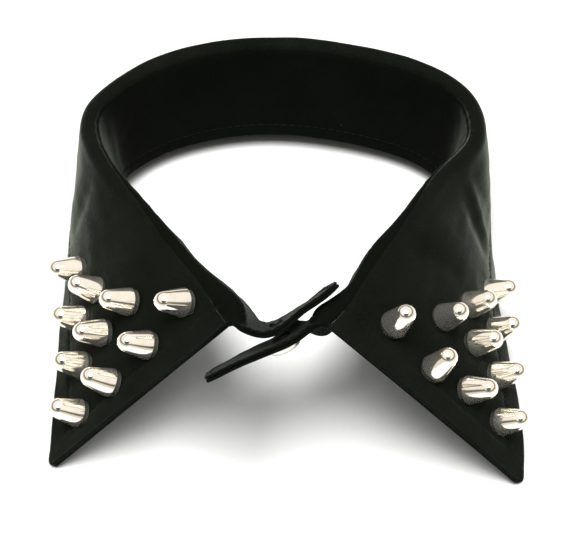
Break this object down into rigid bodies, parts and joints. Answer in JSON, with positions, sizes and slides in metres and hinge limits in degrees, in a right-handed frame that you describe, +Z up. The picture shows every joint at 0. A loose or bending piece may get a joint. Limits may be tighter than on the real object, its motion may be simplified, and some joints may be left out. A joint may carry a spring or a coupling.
{
  "type": "detachable shirt collar",
  "caption": "Detachable fold-over shirt collar of dark cloth, snapped shut round an open neck, with polished bullet studs on both points.",
  "frame": {"origin": "middle of the footprint, at the height of the surface that the collar stands on", "axes": "+Z up, -Y towards the collar's front where the band's tabs overlap, +X to the right of someone who faces the front"},
  "size_m": [0.1428, 0.1654, 0.0571],
  "materials": {
    "collar_cloth": "charcoal black fine plain weave, matte with a soft sheen",
    "stud_metal": "polished silver-coloured plating",
    "snap_metal": "smooth silver-coloured plating"
  },
  "bodies": {
    "root": {"band": "collar_cloth", "leaf": "collar_cloth", "stud_left_1": "stud_metal", "stud_left_2": "stud_metal", "stud_left_3": "stud_metal", "stud_left_4": "stud_metal", "stud_left_5": "stud_metal", "stud_left_6": "stud_metal", "stud_left_7": "stud_metal", "stud_left_8": "stud_metal", "stud_left_9": "stud_metal", "stud_left_10": "stud_metal", "screw_left_1": "stud_metal", "screw_left_2": "stud_metal", "screw_left_3": "stud_metal", "screw_left_4": "stud_metal", "screw_left_5": "stud_metal", "screw_left_6": "stud_metal", "screw_left_7": "stud_metal", "screw_left_8": "stud_metal", "screw_left_9": "stud_metal", "screw_left_10": "stud_metal", "stud_right_1": "stud_metal", "stud_right_2": "stud_metal", "stud_right_3": "stud_metal", "stud_right_4": "stud_metal", "stud_right_5": "stud_metal", "stud_right_6": "stud_metal", "stud_right_7": "stud_metal", "stud_right_8": "stud_metal", "stud_right_9": "stud_metal", "stud_right_10": "stud_metal", "screw_right_1": "stud_metal", "screw_right_2": "stud_metal", "screw_right_3": "stud_metal", "screw_right_4": "stud_metal", "screw_right_5": "stud_metal", "screw_right_6": "stud_metal", "screw_right_7": "stud_metal", "screw_right_8": "stud_metal", "screw_right_9": "stud_metal", "screw_right_10": "stud_metal", "snap_cap": "snap_metal", "snap_socket": "snap_metal", "snap_ball": "snap_metal", "snap_back": "snap_metal"}
  },
  "joints": []
}
